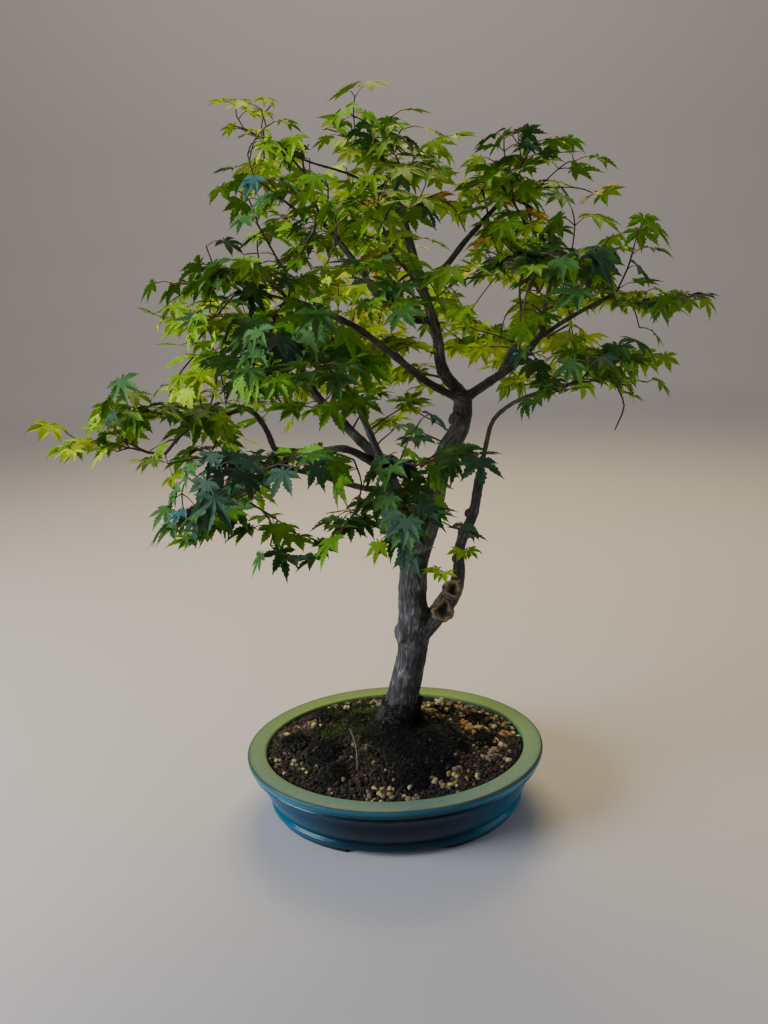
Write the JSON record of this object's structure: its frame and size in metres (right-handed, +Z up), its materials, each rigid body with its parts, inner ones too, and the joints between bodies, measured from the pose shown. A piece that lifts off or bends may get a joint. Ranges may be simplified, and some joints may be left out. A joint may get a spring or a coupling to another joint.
{
  "type": "potted maple bonsai tree",
  "caption": "Leafy maple bonsai with a leaning, forking trunk, slender boughs and a full green crown, growing from a soil mound in a shallow oval glazed pot on short feet.",
  "frame": {"origin": "on the ground, under the middle of the oval pot", "axes": "+Z up, +Y from the front of the plant towards its back, +X to the right as the front is seen"},
  "size_m": [0.4718, 0.3148, 0.5528],
  "materials": {
    "glaze": "glossy",
    "soil": "rough",
    "bark": "rough",
    "foliage": "satin"
  },
  "bodies": {
    "root": {"pot": "glaze", "soil": "soil", "trunk": "bark", "right_stem": "bark", "left_primary": "bark", "leader": "bark", "low_left": "bark", "low_left_bend": "bark", "left_riser": "bark", "front_riser": "bark", "low_front_left": "bark", "front_low": "bark", "left_reach": "bark", "upper_left_limb": "bark", "top_right_limb": "bark", "right_limb": "bark", "right_mid_limb": "bark", "right_far_limb": "bark", "right_low_limb": "bark", "back_left_limb": "bark", "back_upper_limb": "bark", "back_right_limb": "bark", "front_high_limb": "bark", "sprig_shoot": "bark", "leaves_low_left": "foliage", "leaves_low_front_left": "foliage", "leaves_front_low": "foliage", "leaves_left_high": "foliage", "leaves_left": "foliage", "leaves_upper_left": "foliage", "leaves_sprig": "foliage", "leaves_top": "foliage", "leaves_front_left": "foliage", "leaves_front_high": "foliage", "leaves_top_right": "foliage", "leaves_right_mid": "foliage", "leaves_right_far": "foliage", "leaves_right_low": "foliage", "leaves_back_right": "foliage", "leaves_back_left": "foliage", "leaves_back_upper": "foliage"}
  },
  "joints": []
}
